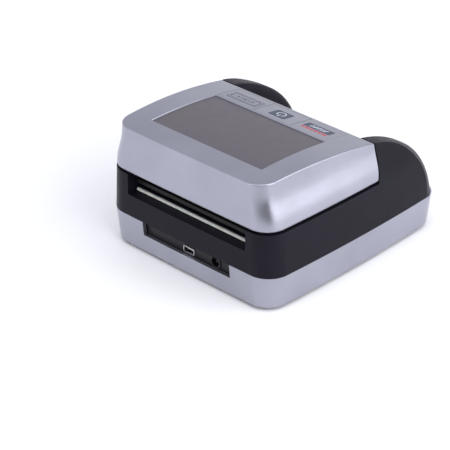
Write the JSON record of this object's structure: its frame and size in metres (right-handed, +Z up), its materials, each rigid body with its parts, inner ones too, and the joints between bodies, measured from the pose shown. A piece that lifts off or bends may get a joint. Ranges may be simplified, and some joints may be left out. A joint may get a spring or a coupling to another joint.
{
  "type": "counterfeit bill detector",
  "caption": "Countertop automatic bill detector with silver covers, black body with operator lobes, dark display window, flush keys and an exit slot; the upper module hinges open.",
  "frame": {"origin": "bottom centre of the detector, on the surface it stands on", "axes": "+Z up, -Y towards the operator, who feeds the note, +Y towards the exit, X across the note"},
  "size_m": [0.1276, 0.144, 0.0759],
  "materials": {
    "silver_shell": "silver metallic paint, satin",
    "black_body": "fine textured, satin",
    "inner_plastic": "fine matt",
    "light_strip": "milky diffuser",
    "rubber_black": "moulded",
    "rubber_grey": "ground rubber",
    "steel_screw": "zinc plated",
    "steel_plate": "stamped",
    "shaft_steel": "ground",
    "bush_brass": "sintered",
    "board_green": "solder mask",
    "connector_black": "moulded",
    "port_metal": "plated",
    "motor_can": "drawn steel",
    "gear_white": "acetal",
    "sensor_glass": "polished",
    "head_metal": "lapped",
    "magnet": "nickel plated",
    "battery_wrap": "shrink wrap",
    "display_window": "smoked, matt coated",
    "lcd_glass": "polished",
    "lcd_metal": "stamped frame",
    "key_silver": "silver paint, printed",
    "key_mat": "silicone",
    "ribbon": "flat cable"
  },
  "bodies": {
    "base": {"base_shell": "silver_shell", "mid_housing": "black_body", "note_bed": "inner_plastic", "exit_light": "light_strip", "rubber_feet": "rubber_black", "base_screws": "steel_screw", "battery_door": "silver_shell", "battery_pack": "battery_wrap", "main_board": "board_green", "connector_panel": "connector_black", "dc_inlet": "connector_black", "usb_socket": "port_metal", "buzzer": "connector_black", "drive_motor": "motor_can", "gear_plate": "steel_plate", "idler_pins": "shaft_steel", "shaft_bushes": "bush_brass", "lower_sensor_board": "board_green", "lower_sensor_glass": "sensor_glass", "magnetic_head": "head_metal", "magnet_keepers": "steel_plate", "hinge_arms": "steel_plate", "arm_screws": "steel_screw"},
    "lid": {"top_cover": "silver_shell", "upper_guide": "inner_plastic", "upper_sensor_board": "board_green", "upper_sensor_glass": "sensor_glass", "pinch_springs": "steel_plate", "display_board": "board_green", "board_screws": "steel_screw", "key_switches": "connector_black", "lcd_frame": "lcd_metal", "lcd_panel": "lcd_glass", "display_window": "display_window", "key_mat": "key_mat", "badge_plate": "key_silver", "ribbon_cable": "ribbon", "hinge_pins": "shaft_steel", "lid_magnets": "magnet", "lid_screws": "steel_screw"},
    "frame_key": {"frame_key": "key_silver"},
    "power_key": {"power_key": "key_silver"},
    "motor_rotor": {"motor_shaft": "shaft_steel", "motor_pinion": "bush_brass"},
    "entry_drive": {"entry_shaft": "shaft_steel", "entry_rollers": "rubber_grey", "entry_gear": "gear_white"},
    "idler_1": {"idler_gear_1": "gear_white"},
    "idler_2": {"idler_gear_2": "gear_white"},
    "idler_3": {"idler_gear_3": "gear_white"},
    "exit_drive": {"exit_shaft": "shaft_steel", "exit_rollers": "rubber_grey", "exit_gear": "gear_white"},
    "entry_pinch": {"entry_pinch_shaft": "shaft_steel", "entry_pinch_rollers": "rubber_grey"},
    "exit_pinch": {"exit_pinch_shaft": "shaft_steel", "exit_pinch_rollers": "rubber_grey"}
  },
  "joints": [
    {"name": "lid_hinge", "type": "hinge", "parent": "base", "child": "lid", "pos_m": [0, 0.064, 0.0635], "axis": [-1, 0, 0], "range_deg": [0, 52]},
    {"name": "frame_key_press", "type": "slide", "parent": "lid", "child": "frame_key", "axis": [0, 0, -1], "range_m": [0, 0.0004], "stiffness_N_per_m": 2000, "springref_m": -0.0003},
    {"name": "power_key_press", "type": "slide", "parent": "lid", "child": "power_key", "axis": [0, 0, -1], "range_m": [0, 0.0004], "stiffness_N_per_m": 2000, "springref_m": -0.0003},
    {"name": "exit_drive_spin", "type": "hinge", "parent": "base", "child": "exit_drive", "pos_m": [0, 0.054, 0.036], "axis": [1, 0, 0], "continuous": true},
    {"name": "motor_spin", "type": "hinge", "parent": "base", "child": "motor_rotor", "pos_m": [0, 0.0395, 0.02575], "axis": [1, 0, 0], "continuous": true},
    {"name": "entry_drive_spin", "type": "hinge", "parent": "base", "child": "entry_drive", "pos_m": [0, -0.004, 0.036], "axis": [1, 0, 0], "continuous": true},
    {"name": "idler_1_spin", "type": "hinge", "parent": "base", "child": "idler_1", "pos_m": [0, 0.0105, 0.036], "axis": [1, 0, 0], "continuous": true},
    {"name": "idler_2_spin", "type": "hinge", "parent": "base", "child": "idler_2", "pos_m": [0, 0.025, 0.036], "axis": [1, 0, 0], "continuous": true},
    {"name": "idler_3_spin", "type": "hinge", "parent": "base", "child": "idler_3", "pos_m": [0, 0.0395, 0.036], "axis": [1, 0, 0], "continuous": true},
    {"name": "entry_pinch_spin", "type": "hinge", "parent": "lid", "child": "entry_pinch", "pos_m": [0, -0.004, 0.0468], "axis": [1, 0, 0], "continuous": true},
    {"name": "exit_pinch_spin", "type": "hinge", "parent": "lid", "child": "exit_pinch", "pos_m": [0, 0.054, 0.0468], "axis": [1, 0, 0], "continuous": true}
  ],
  "couplings": [
    {"joint": "motor_spin", "follows": "exit_drive_spin", "ratio": 2.4167},
    {"joint": "entry_drive_spin", "follows": "exit_drive_spin", "ratio": 1},
    {"joint": "idler_1_spin", "follows": "exit_drive_spin", "ratio": -1},
    {"joint": "idler_2_spin", "follows": "exit_drive_spin", "ratio": 1},
    {"joint": "idler_3_spin", "follows": "exit_drive_spin", "ratio": -1},
    {"joint": "entry_pinch_spin", "follows": "exit_drive_spin", "ratio": -1.3333},
    {"joint": "exit_pinch_spin", "follows": "exit_drive_spin", "ratio": -1.3333}
  ]
}
